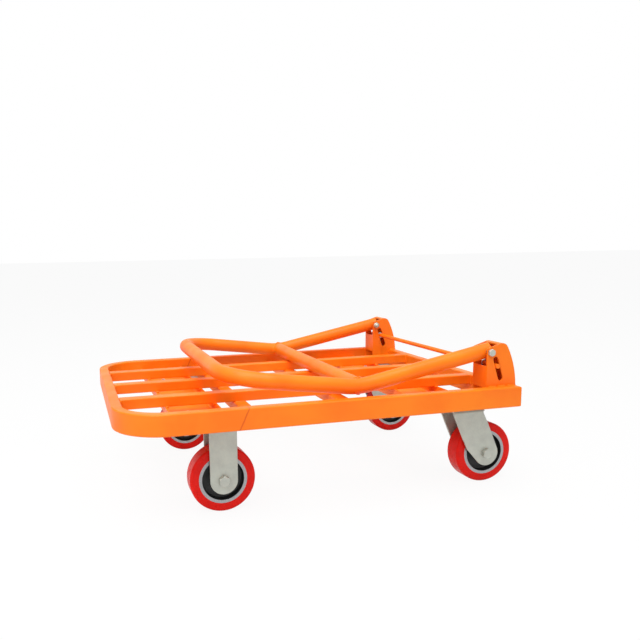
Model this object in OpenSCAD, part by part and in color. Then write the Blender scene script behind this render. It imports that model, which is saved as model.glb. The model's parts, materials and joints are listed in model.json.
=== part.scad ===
// Folding platform cart: slatted steel deck, fold-down handle with a spring lock
// rod, two fixed casters at the front and two swivel casters at the handle end.
// Millimetres. The origin is on the ground under the middle of the cart, +X points
// to the handle end, +Y to the right-hand side and +Z up. The handle is folded down.

/* [Deck] */
// Overall length of the deck frame
deck_length = 780; // [700:10:1000]
// Overall width of the deck frame
deck_width = 600; // [540:10:800]
// Height of the rail tube
rail_height = 40; // [36:1:60]
// Width of the rail tube
rail_width = 20; // [20:1:30]
// Wall thickness of the rail tube
rail_wall = 2; // [1.5:0.5:3]
// Outside radius of the two bent front corners
corner_radius = 95; // [70:5:120]
// Width of a slat
slat_width = 25; // [20:1:40]
// Thickness of a slat
slat_height = 20; // [14:1:22]
// Width of a cross tube under the slats
cross_tube_width = 25; // [20:1:30]
// Width of the channels that carry the casters
bearer_width = 100; // [90:5:110]
// How far the front bearer reaches ahead of the caster bolts
bearer_lead = 41.5; // [20:0.5:50]
// How far the rear bearer reaches behind the caster bolts
bearer_lap = 15; // [12:1:30]
// Distance of the middle cross tube behind the middle of the deck
middle_tube_offset = 59; // [0:1:80]

/* [Casters] */
// Height of a caster from the ground to the top of its plate
caster_height = 172; // [165:1:185]
// Radius of a wheel over the tread
wheel_radius = 62.5; // [55:0.5:65]
// Width of the tread
wheel_width = 40; // [34:1:44]
// Outside radius of the iron core
core_radius = 46; // [40:1:50]
// Distance of the fixed casters' axle from the front of the deck
front_axle_inset = 198; // [160:1:240]
// Distance of the wheels' middle planes from the sides of the deck
caster_inset = 92; // [85:1:110]
// Distance of a swivel caster's axle behind its kingpin
trail = 32.5; // [25:0.5:45]
// Distance between the plate bolts along the deck
bolt_pitch_x = 105; // [95:1:110]
// Distance between the plate bolts across the deck
bolt_pitch_y = 80; // [70:1:90]
// Width of a fork leg
leg_width = 52; // [44:1:60]
// Thickness of the fork sheet
fork_sheet = 4; // [3:0.5:5]

/* [Handle] */
// Outside diameter of the handle tube
handle_diameter = 30; // [25:1:34]
// Wall thickness of the handle tube
handle_wall = 2; // [1.5:0.5:3]
// Height of the pivot above the deck
pivot_height = 67; // [60:1:80]
// Distance of the pivot from the rear of the deck
pivot_inset = 57; // [50:1:65]
// Distance from the pivot to the kink, along the deck
kink_distance = 266; // [200:1:320]
// Distance from the pivot to the middle of the grip, along the deck
grip_distance = 520; // [420:5:620]
// Height of the grip's middle above the deck while folded
grip_height = 46; // [30:1:60]
// Centre-line radius of the two grip corners
grip_corner = 90; // [50:5:120]
// Centre-line radius of the kink
kink_radius = 150; // [50:10:200]
// How far the tube reaches past the pivot
tail_length = 20; // [18:1:22]
// Angle that the handle opens through
open_angle = 100; // [95:1:105]

/* [Hinge brackets] */
// Thickness of the bracket sheet
bracket_sheet = 3; // [2:0.5:4]
// Clear width between the two cheeks of a bracket
bracket_gap = 41; // [38:1:50]
// Distance of a bracket's front edge ahead of the pivot
bracket_front = 8; // [8:1:16]
// Height above the pivot at which a bracket's top and back would meet in a corner
bracket_top = 20; // [16:0.5:22]
// Height of the top above the pivot at a bracket's front edge
bracket_low = 8; // [8:0.5:14]
// Radius of the curved back of a bracket
back_radius = 180; // [150:10:260]
// Distance behind the pivot at which a bracket's top and back would meet
back_top = 31; // [28:0.5:34]

/* [Lock rod] */
// Diameter of the lock rod
rod_diameter = 9.5; // [8:0.5:10]
// Width of the slot that guides the lock rod
slot_width = 11; // [10.5:0.5:12]
// Turns of a return spring
spring_turns = 5; // [4:1:6]

/* [Hidden] */
$fn = 72;

ORANGE = [1.0, 0.45, 0.10];
ZINC = [0.68, 0.69, 0.66];
RED = [0.88, 0.11, 0.08];
IRON = [0.12, 0.12, 0.13];
STEEL = [0.60, 0.61, 0.63];
BLACK = [0.06, 0.06, 0.07];

LEFT = -1;
RIGHT = 1;
SIDES = [["left", LEFT], ["right", RIGHT]];

// --- Clearances between pieces -------------------------------------------------
running = 0.05;        // a shaft in its bore, on the radius
snug = 0.02;           // a pressed or threaded piece in its hole, on the radius
side_gap = 0.3;        // faces that slide past each other
rest_gap = 0.3;        // folded handle above the slats
cope_gap = 0.1;        // a coped tube end and the tube it is welded to
cope_reach = 12;       // degrees by which a cope follows the bend past its ends

// --- Deck ----------------------------------------------------------------------
deck_top = caster_height + rail_height;
// The swivel wheels reach past the rear of the deck; the origin is under the middle
// of the whole cart.
wheel_overhang = max(0, trail + wheel_radius - rail_width / 2 - bolt_pitch_x / 2);
deck_front = -(deck_length + wheel_overhang) / 2;
deck_rear = deck_front + deck_length;
deck_middle = deck_front + deck_length / 2;
rail_inner_y = deck_width / 2 - rail_width;
rail_edge = 3;                                  // outside edge radius of the rail tube
slat_wall = 1.5;
slat_edge = 2;
slat_pitch = (2 * rail_inner_y + slat_width) / 4;
cross_height = rail_height - slat_height;
cross_wall = 2;
bearer_sheet = 3;

front_axle_x = deck_front + front_axle_inset;
caster_y = deck_width / 2 - caster_inset;
swivel_x = deck_rear - rail_width / 2 - bolt_pitch_x / 2;
rear_axle_x = swivel_x + trail;
front_bearer_x = front_axle_x - bolt_pitch_x / 2 - bearer_lead + bearer_width / 2;
rear_bearer_x = swivel_x - bolt_pitch_x / 2 + bearer_lap - bearer_width / 2;

// --- Casters -------------------------------------------------------------------
plate_sheet = 5;
plate_margin_x = 10;
plate_margin_y = 12.5;
plate_edge = 8;
plate_bottom = caster_height - plate_sheet;
bolt_radius = 4;
bolt_hole = 4.5;
bolt_slot = 12;                                 // length of a slotted plate hole
bolt_flats = 13;
bolt_head = 5.3;
nut_height = 6.5;
thread_past_nut = 2.5;

hub_length = wheel_width + 4;
fork_gap = hub_length + 5;                      // clear width between the legs
fork_width = fork_gap + 2 * fork_sheet;
fork_bend = 7;                                  // outside radius of the shoulders
leg_end = leg_width / 2;
axle_radius = 6;
axle_flats = 19;
axle_head = 7.5;
axle_nut = 11;
sleeve_radius = 7.5;

core_rim = 6;
core_web = 10;
hub_radius = 20;
bearing_radius = 17.5;
bearing_width = 11;
bearing_ring = 2.6;
bearing_balls = 8;
bearing_ball = 2.8;
bearing_circle = (bearing_radius + sleeve_radius) / 2;
guard_thickness = 1.8;

race_circle = 21.5;                             // radius of the swivel ball circle
race_ball = 3.2;
race_balls = 16;
race_rise = 4;                                  // height of each pressed race
race_space = 3;                                 // open height between the races
crown_top = plate_bottom - 2 * race_rise - race_space;
crown_bottom = crown_top - fork_sheet;
ball_z = crown_top + race_rise + race_space / 2;
kingpin_head = 10;
kingpin_sink = 2.5;
washer_thickness = 3;
washer_radius = 15;
kingpin_nut = 8.5;

// --- Handle and lock -----------------------------------------------------------
handle_radius = handle_diameter / 2;
handle_bore = handle_radius - handle_wall;
pivot_x = deck_rear - pivot_inset;
pivot_z = deck_top + pivot_height;
cheek_outer_y = rail_inner_y;                   // outer cheek lies on the rail
cheek_inner_y = cheek_outer_y - bracket_gap - 2 * bracket_sheet;
handle_y = (cheek_outer_y + cheek_inner_y) / 2;
// The angle nearest to the one given whose sine and cosine are whole millionths, but for
// less than a thousandth of one. A bend and the straight tube after it then stay in line
// to the last digit when both are rounded to six digits.
function miss(millionths) =
    abs(pow(millionths, 2) + pow(round(sqrt(1e12 - pow(millionths, 2))), 2) - 1e12);
function exact_angle(angle) =
    let (first = round(1e6 * sin(angle)) - 400,
         misses = [for (step = [0:800]) miss(first + step)])
    asin((first + search(min(misses), misses)[0]) / 1e6);

// The sides' straight lengths would meet in the kink's corner, which lies below the bend:
// lift is how far the middle of the bend, with the brace in it, stands above the corner.
rest_height = handle_radius + rest_gap;
function slope_to_pivot(lift) = atan2(pivot_height - rest_height + lift, kink_distance);
function slope_to_grip(lift) =
    atan2(grip_height - rest_height + lift, grip_distance - kink_distance);
function lift_after(lift) =
    kink_radius * (1 / cos((slope_to_pivot(lift) + slope_to_grip(lift)) / 2) - 1);
kink_lift = lift_after(lift_after(lift_after(0)));
kink_drop = pivot_height - rest_height + kink_lift;
grip_rise = grip_height - rest_height + kink_lift;
lower_slope = slope_to_pivot(kink_lift);
kink_turn = exact_angle(lower_slope + slope_to_grip(kink_lift));
kink_tangent = kink_radius * tan(kink_turn / 2);
lower_length = norm([kink_drop, kink_distance]) - kink_tangent;
upper_length = norm([grip_rise, grip_distance - kink_distance]);

pivot_bolt = 4;
pivot_head = 5.3;
pivot_nut = 8;
bush_radius = 6;

rod_radius = rod_diameter / 2;
slot_upper = [11, -14];                         // slot ends, measured from the pivot
slot_lower = [22.4, -51];
slot_way = (slot_lower - slot_upper) / norm(slot_lower - slot_upper);
slot_angle = atan2(slot_way.y, slot_way.x);
// The folded tube's tail holds the sprung rod down: the rod rests this far from
// the pivot, just clear of the circle that the tail's corners sweep.
tail_sweep = norm([tail_length, handle_radius]);
rod_rest = tail_sweep + rod_radius + 1.75;
rod_lean = slot_upper * slot_way;
rod_travel = -rod_lean
    + sqrt(rod_lean * rod_lean - slot_upper * slot_upper + rod_rest * rod_rest);
rod_place = slot_upper + rod_travel * slot_way;
rod_past_cheek = 2;
clip_radius = 7.5;
clip_thickness = 1.2;
clip_place = cheek_inner_y + bracket_sheet + 0.5;

floor_top = deck_top;
bracket_foot = deck_top - 36;                   // cheeks reach down inside the rail
bracket_rear = deck_rear;
front_clear = 2;                                // bracket's front sheet and the tail
bracket_round = 14;                            // of the corner between top and back
spring_wire = 1.4;
spring_radius = 5.3;                            // of the coil's centre line
spring_head = rod_radius + 0.3;
floor_reach = (rod_place.y + pivot_height) / -slot_way.y;
spring_foot = floor_reach - (spring_radius + spring_wire) / tan(-slot_angle) - 0.2;
spring_length = spring_foot - spring_head;

// --- Helpers -------------------------------------------------------------------

// A rectangle with round corners, centred.
module round_rect(width, height, radius) {
    square([width - 2 * radius, height], center = true);
    square([width, height - 2 * radius], center = true);
    for (x = [-1, 1]) for (y = [-1, 1])
        translate([x * (width / 2 - radius), y * (height / 2 - radius)]) circle(radius);
}

// Section of a rectangular tube, centred.
module tube_section(width, height, wall, edge) {
    difference() {
        round_rect(width, height, edge);
        round_rect(width - 2 * wall, height - 2 * wall, max(edge - wall, 0.5));
    }
}

// Draws a section along X, its first axis lying along Y and its second along Z.
module along_x(from, to) {
    translate([from, 0, 0]) rotate([90, 0, 90]) linear_extrude(to - from) children();
}

// Draws a section along Y, its first axis lying along X and its second along Z.
module along_y(from, to) {
    translate([0, to, 0]) rotate([90, 0, 0]) linear_extrude(to - from) children();
}

// A solid or hollow round bar along Y.
module bar_y(radius, from, to, bore = 0) {
    along_y(from, to) difference() {
        circle(radius);
        if (bore > 0) circle(bore);
    }
}

// A hexagonal bar along Y.
module hex_y(flats, from, to, bore = 0) {
    along_y(from, to) difference() {
        circle(flats / sqrt(3), $fn = 6);
        if (bore > 0) circle(bore);
    }
}

// Draws the left-hand piece as it is, or its mirror image on the right.
module on_side(side) {
    if (side == LEFT) children();
    else mirror([0, 1, 0]) children();
}

// The four plate bolts of a caster, placed from the middle of its plate.
module at_plate_bolts() {
    for (x = [-1, 1]) for (y = [-1, 1])
        translate([x * bolt_pitch_x / 2, y * bolt_pitch_y / 2, 0]) children();
}

// The middles of the four caster plates on the ground.
module at_casters() {
    for (x = [front_axle_x, swivel_x]) for (y = [-1, 1])
        translate([x, y * caster_y, 0]) children();
}

// Holes for the plate bolts through whatever the plates are bolted to.
module mounting_holes(reach) {
    at_casters() at_plate_bolts()
        translate([0, 0, caster_height - 1]) cylinder(r = bolt_hole, h = reach + 1);
}

// --- Deck pieces ---------------------------------------------------------------

// Cuts a rear corner of the frame at 45 degrees. Inside = true takes away the part
// that belongs to the rail, otherwise the part that belongs to the cross-member.
module mitre_cut(rail_part) {
    reach = rail_width + 1;
    inner = [deck_rear - rail_width, rail_inner_y];
    outer = inner + [reach, reach];
    translate([0, 0, caster_height - 1]) linear_extrude(rail_height + 2)
        polygon(rail_part
            ? [inner - [1, 1], outer, [inner.x - 1, outer.y]]
            : [inner - [1, 1], outer, [outer.x, inner.y - 1]]);
}

module rail_section() {
    tube_section(rail_width, rail_height, rail_wall, rail_edge);
}

// One side rail and its bent corner, on the right-hand side.
module half_frame() {
    centre = corner_radius - rail_width / 2;
    corner_x = deck_front + corner_radius;
    corner_y = deck_width / 2 - corner_radius;
    translate([0, 0, caster_height + rail_height / 2]) {
        translate([0, rail_inner_y + rail_width / 2, 0])
            along_x(corner_x, deck_rear) rail_section();
        translate([corner_x, corner_y, 0]) rotate([0, 0, 90])
            rotate_extrude(angle = 90) translate([centre, 0]) rail_section();
        translate([deck_front + rail_width / 2, 0, 0])
            along_y(0, corner_y) rail_section();
    }
}

module deck_frame() {
    color(ORANGE) for (side = [LEFT, RIGHT]) on_side(side) mirror([0, 1, 0]) difference() {
        half_frame();
        mitre_cut(false);
    }
}

module rear_crossmember() {
    color(ORANGE) difference() {
        translate([deck_rear - rail_width / 2, 0, caster_height + rail_height / 2])
            along_y(-deck_width / 2, deck_width / 2) rail_section();
        for (side = [0, 1]) mirror([0, side, 0]) mitre_cut(true);
        mounting_holes(rail_wall + 1);
    }
}

module slat(place) {
    color(ORANGE)
        translate([0, place * slat_pitch, deck_top - slat_height / 2])
            along_x(deck_front + rail_width, deck_rear - rail_width)
                tube_section(slat_width, slat_height, slat_wall, slat_edge);
}

// A square tube across the deck under the slats.
module cross_tube(x) {
    color(ORANGE) difference() {
        translate([x, 0, caster_height + cross_height / 2])
            along_y(-rail_inner_y, rail_inner_y)
                tube_section(cross_tube_width, cross_height, cross_wall, slat_edge);
        mounting_holes(cross_wall + 1);
    }
}

// A channel across the deck, open towards the slats, that carries two casters.
module bearer(x) {
    bend = 2 * bearer_sheet;
    inner = bearer_width - 2 * bearer_sheet;
    color(ORANGE) difference() {
        translate([x, 0, caster_height]) along_y(-rail_inner_y, rail_inner_y)
            intersection() {
                difference() {
                    translate([0, cross_height]) round_rect(bearer_width, 2 * cross_height, bend);
                    translate([0, cross_height + bearer_sheet])
                        round_rect(inner, 2 * cross_height, bearer_sheet);
                }
                translate([-bearer_width / 2, 0]) square([bearer_width, cross_height]);
            }
        mounting_holes(bearer_sheet + 1);
    }
}

// --- Hinge brackets ------------------------------------------------------------

// Centre of the circle through two points, on the side towards -X.
function circle_centre(low, high, radius) =
    let (chord = high - low, half = norm(chord) / 2,
         square_on = [-chord.y, chord.x] / norm(chord))
    (low + high) / 2 + square_on * sqrt(radius * radius - half * half);

back_low = [bracket_rear - pivot_x, -pivot_height];
back_high = [back_top, bracket_top];
back_centre = circle_centre(back_low, back_high, back_radius);

// The top falls towards the front, and a round corner joins it to the back.
top_slope = atan2(bracket_top - bracket_low, back_top + bracket_front);
top_way = [cos(top_slope), sin(top_slope)];
top_square = [-top_way.y, top_way.x];
round_from = back_high - bracket_round * top_square - back_centre;
round_lean = round_from * top_way;
round_travel = -round_lean
    + sqrt(round_lean * round_lean - round_from * round_from
           + pow(back_radius - bracket_round, 2));
round_centre = back_centre + round_from + round_travel * top_way;

// Side view of a bracket above the deck, measured from the pivot, drawn in by inset.
module bracket_outline(inset) {
    round = bracket_round - inset;
    way = (round_centre - back_centre) / norm(round_centre - back_centre);
    difference() {
        intersection() {
            translate(back_centre) circle(back_radius - inset, $fn = 360);
            translate([-bracket_front, -pivot_height]) square([back_radius, back_radius]);
            translate(back_high - inset * top_square) rotate(top_slope)
                translate([-back_radius, -back_radius]) square([2 * back_radius, back_radius]);
        }
        difference() {
            polygon([round_centre, round_centre + 2 * round * top_square,
                     round_centre + 2 * round * top_square + 3 * round * top_way,
                     round_centre + 3 * round * way]);
            translate(round_centre) circle(round);
        }
    }
}

// The slanted slot that guides the lock rod, measured from the pivot.
module slot_outline(width, extra = 0) {
    run = norm(slot_lower - slot_upper) + extra;
    translate(slot_upper) rotate(slot_angle) {
        circle(width / 2);
        translate([run, 0]) circle(width / 2);
        translate([0, -width / 2]) square([run, width]);
    }
}

// One cheek seen from the side: the curved part and the foot inside the rail.
module cheek_outline() {
    difference() {
        union() {
            bracket_outline(0);
            translate([-bracket_front, bracket_foot - pivot_z])
                square([pivot_inset - rail_width + bracket_front, deck_top - bracket_foot]);
        }
        circle(pivot_bolt + snug);
        slot_outline(slot_width);
    }
}

// The sheet that joins the two cheeks round the back, seen from the side.
module back_outline() {
    difference() {
        bracket_outline(0);
        bracket_outline(bracket_sheet);
        translate([-bracket_front - 1, -pivot_height])
            square([bracket_front + 1 + round_centre.x - bracket_round / 2, back_radius]);
    }
}

// A round seat on the bracket's floor, square to the spring, with a stud inside it.
module spring_seat() {
    seat = spring_radius + spring_wire;
    intersection() {
        translate([rod_place.x, 0, rod_place.y]) rotate([0, 90 - slot_angle, 0]) {
            translate([0, 0, spring_foot]) cylinder(r = seat, h = 2 * seat);
            translate([0, 0, spring_foot - 5])
                cylinder(r = spring_radius - spring_wire, h = 2 * seat);
        }
        translate([0, -20, -pivot_height - bracket_sheet / 2]) cube([80, 40, 80]);
    }
}

module hinge_bracket(side) {
    color(ORANGE) on_side(side) translate([pivot_x, 0, pivot_z]) {
        for (y = [-cheek_outer_y, -cheek_inner_y - bracket_sheet])
            along_y(y, y + bracket_sheet) cheek_outline();
        along_y(-cheek_outer_y, -cheek_inner_y) back_outline();
        translate([-bracket_front, -cheek_outer_y, -pivot_height - bracket_sheet])
            cube([pivot_inset - rail_width + bracket_front, cheek_outer_y - cheek_inner_y,
                  bracket_sheet]);
        translate([-bracket_front, -cheek_outer_y, -pivot_height])
            cube([bracket_sheet, cheek_outer_y - cheek_inner_y,
                  pivot_height - tail_sweep - front_clear]);
        translate([0, -handle_y, 0]) spring_seat();
    }
}

module pivot_bolts() {
    nut_end = pivot_nut + 2;
    color(ZINC) for (side = [LEFT, RIGHT]) on_side(side)
        translate([pivot_x, 0, pivot_z]) {
            hex_y(bolt_flats, -cheek_outer_y - pivot_head, -cheek_outer_y);
            bar_y(pivot_bolt, -cheek_outer_y, -cheek_inner_y + nut_end);
        }
}

module pivot_nuts() {
    color(ZINC) for (side = [LEFT, RIGHT]) on_side(side)
        translate([pivot_x, 0, pivot_z])
            hex_y(bolt_flats, -cheek_inner_y, -cheek_inner_y + pivot_nut,
                  bore = pivot_bolt + snug);
}

// --- Handle --------------------------------------------------------------------

// Carries children past a bend that starts at the origin, heads along +Z and turns
// towards +X.
module past_bend(bend, angle) {
    translate([bend, 0, 0]) rotate([0, angle, 0]) translate([-bend, 0, 0]) children();
}

// A round bar bent in that way: a ring cut off at both ends of the bend.
module bent_bar(radius, bend, angle, fine = 72) {
    reach = bend + radius + 1;
    width = 2 * radius + 2;
    difference() {
        translate([bend, 0, 0]) rotate([90, 0, 0]) rotate_extrude($fn = fine)
            translate([bend, 0]) circle(radius, $fn = 72);
        translate([-radius - 1, -width / 2, -reach]) cube([2 * reach, width, reach]);
        past_bend(bend, angle)
            translate([-radius - 1, -width / 2, 0]) cube([2 * reach, width, reach]);
    }
}

// Carries children to the start of the left leg's bend at the kink, heading for the grip.
module at_kink() {
    translate([pivot_x, -handle_y, pivot_z]) rotate([0, -90 - lower_slope, 0])
        translate([0, 0, lower_length]) children();
}

// The handle's centre line, drawn as a round bar: each side runs from its tail, which is
// drawn longer by extra, through the kink and the corner to the middle of the grip.
module handle_path(radius, extra = 0) {
    straight = upper_length - kink_tangent - grip_corner;
    for (side = [LEFT, RIGHT]) on_side(side) at_kink() {
        translate([0, 0, -lower_length - tail_length - extra])
            cylinder(r = radius, h = tail_length + extra + lower_length);
        bent_bar(radius, kink_radius, kink_turn);
        past_bend(kink_radius, kink_turn) {
            cylinder(r = radius, h = straight);
            translate([0, 0, straight]) rotate([0, 0, 90]) {
                bent_bar(radius, grip_corner, 90);
                past_bend(grip_corner, 90) cylinder(r = radius, h = handle_y - grip_corner);
            }
        }
    }
}

// The bent tube. Each tail has a round-ended notch that receives the lock rod when
// the handle stands open: it is the bracket's slot, turned back by the open angle.
module handle_tube() {
    color(ORANGE) difference() {
        handle_path(handle_radius);
        handle_path(handle_bore, 1);
        translate([pivot_x, 0, pivot_z]) {
            for (side = [LEFT, RIGHT]) on_side(side)
                bar_y(bush_radius + snug, -handle_y - handle_diameter, -handle_y + handle_diameter);
            rotate([0, -open_angle, 0])
                along_y(-cheek_outer_y, cheek_outer_y) slot_outline(slot_width);
        }
    }
}

// The straight tube across the kink, coped to fit round both legs.
module handle_brace() {
    color(ORANGE) difference() {
        on_side(LEFT) at_kink() past_bend(kink_radius, kink_turn / 2)
            translate([0, handle_y, 0])
                bar_y(handle_radius, -handle_y, handle_y, bore = handle_bore);
        for (side = [LEFT, RIGHT]) on_side(side) at_kink()
            past_bend(kink_radius, -cope_reach)
                bent_bar(handle_radius + cope_gap, kink_radius, kink_turn + 2 * cope_reach, 360);
    }
}

module pivot_bushes() {
    half = bracket_gap / 2 - side_gap;
    color(STEEL) for (side = [LEFT, RIGHT]) on_side(side)
        translate([pivot_x, -handle_y, pivot_z])
            bar_y(bush_radius, -half, half, bore = pivot_bolt + running);
}

// --- Lock rod and springs ------------------------------------------------------

module lock_rod() {
    half = cheek_outer_y + rod_past_cheek;
    color(ORANGE) translate([pivot_x + rod_place.x, 0, pivot_z + rod_place.y])
        bar_y(rod_radius, -half, half);
}

module rod_clips() {
    color(ZINC) for (side = [LEFT, RIGHT]) on_side(side)
        translate([pivot_x + rod_place.x, 0, pivot_z + rod_place.y])
            bar_y(clip_radius, -clip_place - clip_thickness, -clip_place,
                  bore = rod_radius + snug);
}

// Height of the coil after a number of turns. The first and last turn are closed.
function coil_height(turn) =
    let (open_turns = spring_turns - 2,
         open_rise = (spring_length - 3 * spring_wire) / open_turns)
    spring_wire / 2 + min(turn, 1) * spring_wire
        + max(0, min(turn - 1, open_turns)) * open_rise
        + max(0, turn - 1 - open_turns) * spring_wire;

module coil() {
    steps = 20;
    sides = 8;
    rings = spring_turns * steps;
    points = [for (i = [0 : rings]) for (k = [0 : sides - 1])
        let (around = i * 360 / steps, on_wire = k * 360 / sides,
             out = spring_radius + spring_wire / 2 * cos(on_wire))
        [out * cos(around), out * sin(around),
         coil_height(i / steps) + spring_wire / 2 * sin(on_wire)]];
    faces = concat(
        [[for (k = [0 : sides - 1]) k]],
        [for (i = [0 : rings - 1]) for (k = [0 : sides - 1])
            let (a = i * sides + k, b = i * sides + (k + 1) % sides)
            [a, a + sides, b + sides, b]],
        [[for (k = [sides - 1 : -1 : 0]) rings * sides + k]]);
    polyhedron(points, faces);
}

module lock_spring(side) {
    color(STEEL) on_side(side)
        translate([pivot_x + rod_place.x, -handle_y, pivot_z + rod_place.y])
            rotate([0, 90 - slot_angle, 0]) translate([0, 0, spring_head]) coil();
}

// --- Caster plates and forks ---------------------------------------------------

module plate_outline() {
    round_rect(bolt_pitch_x + 2 * plate_margin_x, bolt_pitch_y + 2 * plate_margin_y, plate_edge);
}

// A caster's top plate, placed from its middle, with four slotted holes.
module top_plate() {
    translate([0, 0, plate_bottom]) linear_extrude(plate_sheet) difference() {
        plate_outline();
        for (x = [-1, 1]) for (y = [-1, 1])
            translate([x * bolt_pitch_x / 2, y * bolt_pitch_y / 2]) {
                for (end = [-1, 1]) translate([0, end * (bolt_slot / 2 - bolt_hole)])
                    circle(bolt_hole);
                square([2 * bolt_hole, bolt_slot - 2 * bolt_hole], center = true);
            }
    }
}

// A folded sheet seen from the front: two legs joined by a flat crown.
module fork_section(top) {
    height = top - wheel_radius + leg_end;
    bend = fork_bend;
    inner_bend = fork_bend - fork_sheet;
    difference() {
        translate([0, top - height]) round_rect(fork_width, 2 * height, bend);
        translate([0, top - height - fork_sheet])
            round_rect(fork_gap, 2 * height, inner_bend);
    }
}

// Holes for the axle bolt through both legs.
module axle_hole() {
    translate([0, 0, wheel_radius]) bar_y(axle_radius + snug, -fork_width, fork_width);
}

// Side view of a fixed fork: straight legs that flare into the crown.
module fixed_leg() {
    flare = 10;
    rise = plate_bottom - wheel_radius;
    translate([0, wheel_radius]) {
        circle(leg_end);
        translate([-leg_width / 2, 0]) square([leg_width, rise]);
        for (side = [0, 1]) mirror([side, 0])
            translate([leg_width / 2, rise - flare - fork_sheet]) difference() {
                square([flare, flare + fork_sheet]);
                translate([flare, 0]) circle(flare);
            }
    }
}

module fixed_plate(side) {
    color(ZINC) on_side(side) translate([front_axle_x, -caster_y, 0]) top_plate();
}

module fixed_fork(side) {
    color(ZINC) on_side(side) translate([front_axle_x, -caster_y, 0]) difference() {
        intersection() {
            along_x(-bolt_pitch_x, bolt_pitch_x) fork_section(plate_bottom);
            along_y(-fork_width, fork_width) fixed_leg();
        }
        axle_hole();
    }
}

// Where a line from a point touches a circle. Turn is +1 or -1 for the two ways.
function touch_point(point, centre, radius, turn) =
    let (reach = point - centre, away = norm(reach),
         angle = atan2(reach.y, reach.x) + turn * acos(radius / away))
    centre + radius * [cos(angle), sin(angle)];

// Side view of a swivel fork: the legs lean back from the crown to the axle.
module swivel_leg() {
    crown_front = -44;
    crown_back = 15;
    axle = [trail, wheel_radius];
    front_knee = [trail - 45, wheel_radius + 12];
    back_knee = [trail + 2, wheel_radius + 62];
    translate(axle) circle(leg_end);
    polygon([[crown_front, crown_top], [crown_front, crown_top - 2 * fork_sheet], front_knee,
             touch_point(front_knee, axle, leg_end, 1), axle,
             touch_point(back_knee, axle, leg_end, -1), back_knee,
             [crown_back + 8, crown_top - 2 * fork_sheet], [crown_back + 8, crown_top]]);
    translate([-washer_radius - race_circle / 2, crown_bottom])
        square([2 * washer_radius + race_circle, fork_sheet]);
}

// A pressed race: a raised ring with a ball groove, its base at height zero.
module race(groove, outer) {
    rotate_extrude() difference() {
        translate([race_circle - race_ball - 4, 0]) square([outer - race_circle + race_ball + 4,
                                                            race_rise]);
        translate([race_circle, race_rise + race_space / 2]) circle(groove);
    }
}

module swivel_plate(side) {
    lip = 1.8;
    race_outer = race_circle + race_ball + 6;
    color(ZINC) on_side(side) translate([swivel_x, -caster_y, 0]) difference() {
        union() {
            top_plate();
            translate([0, 0, plate_bottom]) mirror([0, 0, 1])
                race(race_ball + 0.1, race_outer);
            translate([0, 0, crown_top + race_rise / 2]) linear_extrude(plate_bottom - crown_top
                                                                       - race_rise / 2)
                difference() {
                    circle(race_outer);
                    circle(race_outer - lip);
                }
        }
        translate([0, 0, plate_bottom - 1]) cylinder(r = axle_radius + snug, h = plate_sheet + 2);
        translate([0, 0, caster_height - kingpin_sink])
            cylinder(r = kingpin_head + snug, h = kingpin_sink + 1);
    }
}

module swivel_balls() {
    color(STEEL) for (side = [-1, 1]) translate([swivel_x, side * caster_y, ball_z])
        for (i = [0 : race_balls - 1]) rotate([0, 0, i * 360 / race_balls])
            translate([race_circle, 0, 0]) sphere(race_ball);
}

module kingpins() {
    bottom = crown_bottom - side_gap - washer_thickness - kingpin_nut - 2;
    color(STEEL) for (side = [-1, 1]) translate([swivel_x, side * caster_y, 0]) {
        translate([0, 0, bottom]) cylinder(r = axle_radius, h = caster_height - bottom);
        translate([0, 0, caster_height - kingpin_sink])
            cylinder(r = kingpin_head, h = kingpin_sink);
    }
}

module thrust_washers() {
    color(STEEL) for (side = [-1, 1])
        translate([swivel_x, side * caster_y, crown_bottom - side_gap - washer_thickness])
            linear_extrude(washer_thickness) difference() {
                circle(washer_radius);
                circle(axle_radius + snug);
            }
}

module kingpin_nuts() {
    top = crown_bottom - side_gap - washer_thickness;
    color(STEEL) for (side = [-1, 1])
        translate([swivel_x, side * caster_y, top - kingpin_nut])
            linear_extrude(kingpin_nut) difference() {
                circle(axle_flats / sqrt(3), $fn = 6);
                circle(axle_radius + snug);
            }
}

module swivel_fork(side) {
    crown_radius = fork_width / 2;
    color(ZINC) on_side(side) translate([swivel_x, -caster_y, 0]) difference() {
        union() {
            intersection() {
                along_x(-bolt_pitch_x, bolt_pitch_x) fork_section(crown_top);
                along_y(-fork_width, fork_width) swivel_leg();
            }
            translate([0, 0, crown_top]) race(race_ball + side_gap, crown_radius - 1);
        }
        translate([0, 0, crown_bottom - 1])
            cylinder(r = axle_radius + running, h = fork_sheet + race_rise + 2);
        translate([trail, 0, 0]) axle_hole();
    }
}

// --- Fasteners -----------------------------------------------------------------

module caster_bolts() {
    grip = plate_sheet + bearer_sheet + nut_height + thread_past_nut;
    color(ZINC) at_casters() at_plate_bolts() {
        translate([0, 0, plate_bottom - bolt_head])
            cylinder(r = bolt_flats / sqrt(3), h = bolt_head, $fn = 6);
        translate([0, 0, plate_bottom]) cylinder(r = bolt_radius, h = grip);
    }
}

// The nuts stand on the web of a channel or on the floor of a tube.
module caster_nuts() {
    color(ZINC) for (x = [front_axle_x, swivel_x]) for (end = [-1, 1])
        for (y = [-1, 1]) for (hole = [-1, 1]) {
            on_bearer = (x == front_axle_x) == (end == -1) || (x == swivel_x && end == -1);
            seat = on_bearer ? bearer_sheet : (x == swivel_x ? rail_wall : cross_wall);
            translate([x + end * bolt_pitch_x / 2, y * caster_y + hole * bolt_pitch_y / 2,
                       caster_height + seat])
                linear_extrude(nut_height) difference() {
                    circle(bolt_flats / sqrt(3), $fn = 6);
                    circle(bolt_radius + snug);
                }
        }
}

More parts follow.
